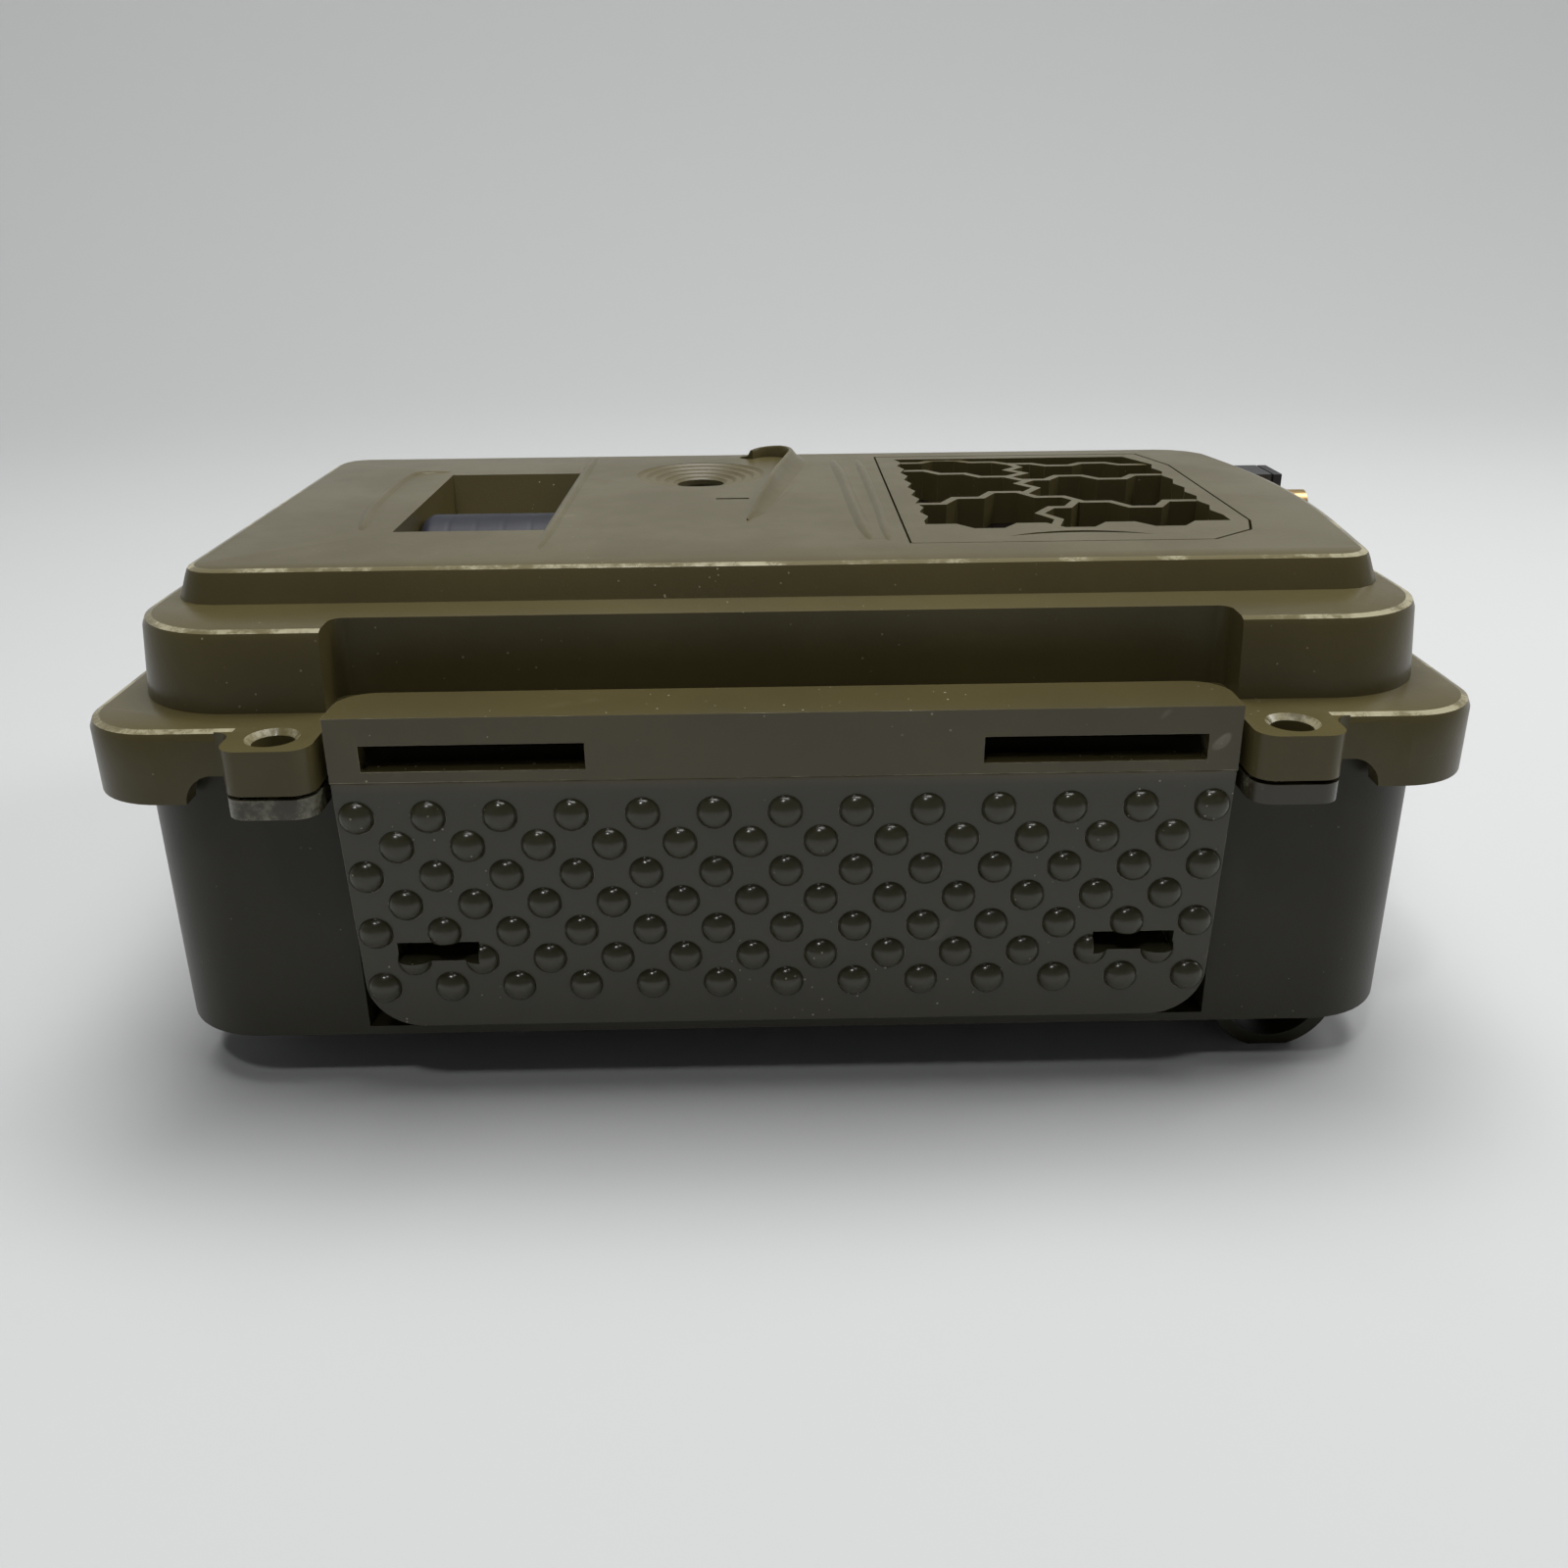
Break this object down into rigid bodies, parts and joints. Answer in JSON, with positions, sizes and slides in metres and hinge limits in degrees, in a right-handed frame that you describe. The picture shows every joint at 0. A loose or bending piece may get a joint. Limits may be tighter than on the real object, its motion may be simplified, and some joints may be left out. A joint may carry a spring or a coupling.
{
  "type": "trail camera",
  "caption": "Weatherproof box-shaped trail camera with a hinged front, a latch plate, motion sensor, lens, flash grille, key pad and battery bay.",
  "frame": {"origin": "on the axis of the tripod thread, in the plane of the strap loops that the camera lies on", "axes": "+X along the camera's height towards its top end, +Y from the latch side to the hinge side, +Z out of the front face"},
  "size_m": [0.1742, 0.1351, 0.0668],
  "materials": {
    "cover_plastic": "olive-drab satin, edges worn bright",
    "housing_plastic": "dark grey-olive, satin",
    "latch_plastic": "grey-olive satin, dusty and scratched",
    "black_plastic": "black, fine grain",
    "seal_rubber": "black soft rubber",
    "screw_steel": "plain steel",
    "spring_steel": "nickel plated",
    "brass": "turned brass",
    "gold_plate": "gold plated",
    "tin": "stamped sheet",
    "sensor_film": "milky blue-grey",
    "clear_glass": "clear",
    "dark_window": "nearly black, glossy",
    "lamp_plastic": "clear moulded",
    "circuit_board": "green solder mask",
    "display_panel": "dark, glossy",
    "cell_jacket": "plain printed jacket without print",
    "key_plastic": "grey",
    "card_plastic": "dark blue"
  },
  "bodies": {
    "housing": {"rear_housing": "housing_plastic", "gasket": "seal_rubber", "upper_strap_bracket": "housing_plastic", "lower_strap_bracket": "housing_plastic", "bracket_screws": "screw_steel", "tripod_insert": "brass", "battery_tray": "black_plastic", "tray_screws": "screw_steel", "cell_1": "cell_jacket", "cell_2": "cell_jacket", "cell_3": "cell_jacket", "cell_4": "cell_jacket", "cell_5": "cell_jacket", "cell_6": "cell_jacket", "contact_springs": "spring_steel", "contact_plates": "spring_steel", "terminal_pads": "gold_plate", "hinge_pins": "screw_steel", "latch_pins": "screw_steel"},
    "door": {"front_cover": "cover_plastic", "pir_lens": "sensor_film", "pir_sensor": "tin", "lens_window": "clear_glass", "lens_barrel": "black_plastic", "lens_glass": "clear_glass", "sensor_block": "black_plastic", "status_light": "lamp_plastic", "microphone": "gold_plate", "flash_grille": "cover_plastic", "flash_window": "dark_window", "led_board": "circuit_board", "led_spacers": "brass", "flash_leds": "lamp_plastic", "main_board": "circuit_board", "board_spacers": "brass", "board_screws": "screw_steel", "processor": "black_plastic", "display": "display_panel", "display_window": "clear_glass", "key_switches": "tin", "mode_switch": "tin", "card_socket": "tin", "inner_plate": "black_plastic", "plate_screws": "screw_steel", "door_contacts": "gold_plate", "antenna_jack": "gold_plate", "antenna_nut": "gold_plate", "antenna_washer": "gold_plate", "power_jack": "black_plastic"},
    "latch_plate": {"latch": "latch_plastic"},
    "up_key": {"up_button": "key_plastic"},
    "down_key": {"down_button": "key_plastic"},
    "left_key": {"left_button": "key_plastic"},
    "right_key": {"right_button": "key_plastic"},
    "ok_key": {"ok_button": "key_plastic"},
    "menu_key": {"menu_button": "key_plastic"},
    "mode_slider": {"mode_knob": "key_plastic"},
    "card": {"memory_card": "card_plastic"},
    "port_cap": {"jack_cap": "seal_rubber"}
  },
  "joints": [
    {"name": "door_hinge", "type": "hinge", "parent": "housing", "child": "door", "pos_m": [0, 0.065, 0.0465], "axis": [-1, 0, 0], "range_deg": [0, 120]},
    {"name": "latch_pivot", "type": "hinge", "parent": "housing", "child": "latch_plate", "pos_m": [0, -0.0544, 0.0184], "axis": [1, 0, 0], "range_deg": [0, 45]},
    {"name": "up_press", "type": "slide", "parent": "door", "child": "up_key", "axis": [0, 0, 1], "range_m": [0, 0.0005], "stiffness_N_per_m": 1200, "springref_m": -0.0003},
    {"name": "down_press", "type": "slide", "parent": "door", "child": "down_key", "axis": [0, 0, 1], "range_m": [0, 0.0005], "stiffness_N_per_m": 1200, "springref_m": -0.0003},
    {"name": "left_press", "type": "slide", "parent": "door", "child": "left_key", "axis": [0, 0, 1], "range_m": [0, 0.0005], "stiffness_N_per_m": 1200, "springref_m": -0.0003},
    {"name": "right_press", "type": "slide", "parent": "door", "child": "right_key", "axis": [0, 0, 1], "range_m": [0, 0.0005], "stiffness_N_per_m": 1200, "springref_m": -0.0003},
    {"name": "ok_press", "type": "slide", "parent": "door", "child": "ok_key", "axis": [0, 0, 1], "range_m": [0, 0.0005], "stiffness_N_per_m": 1200, "springref_m": -0.0003},
    {"name": "menu_press", "type": "slide", "parent": "door", "child": "menu_key", "axis": [0, 0, 1], "range_m": [0, 0.0005], "stiffness_N_per_m": 1200, "springref_m": -0.0003},
    {"name": "mode_slide", "type": "slide", "parent": "door", "child": "mode_slider", "axis": [1, 0, 0], "range_m": [0, 0.004]},
    {"name": "card_slide", "type": "slide", "parent": "door", "child": "card", "axis": [0, -1, 0], "range_m": [0, 0.028]},
    {"name": "port_cap_pull", "type": "slide", "parent": "door", "child": "port_cap", "axis": [1, 0, 0], "range_m": [0, 0.008]}
  ]
}
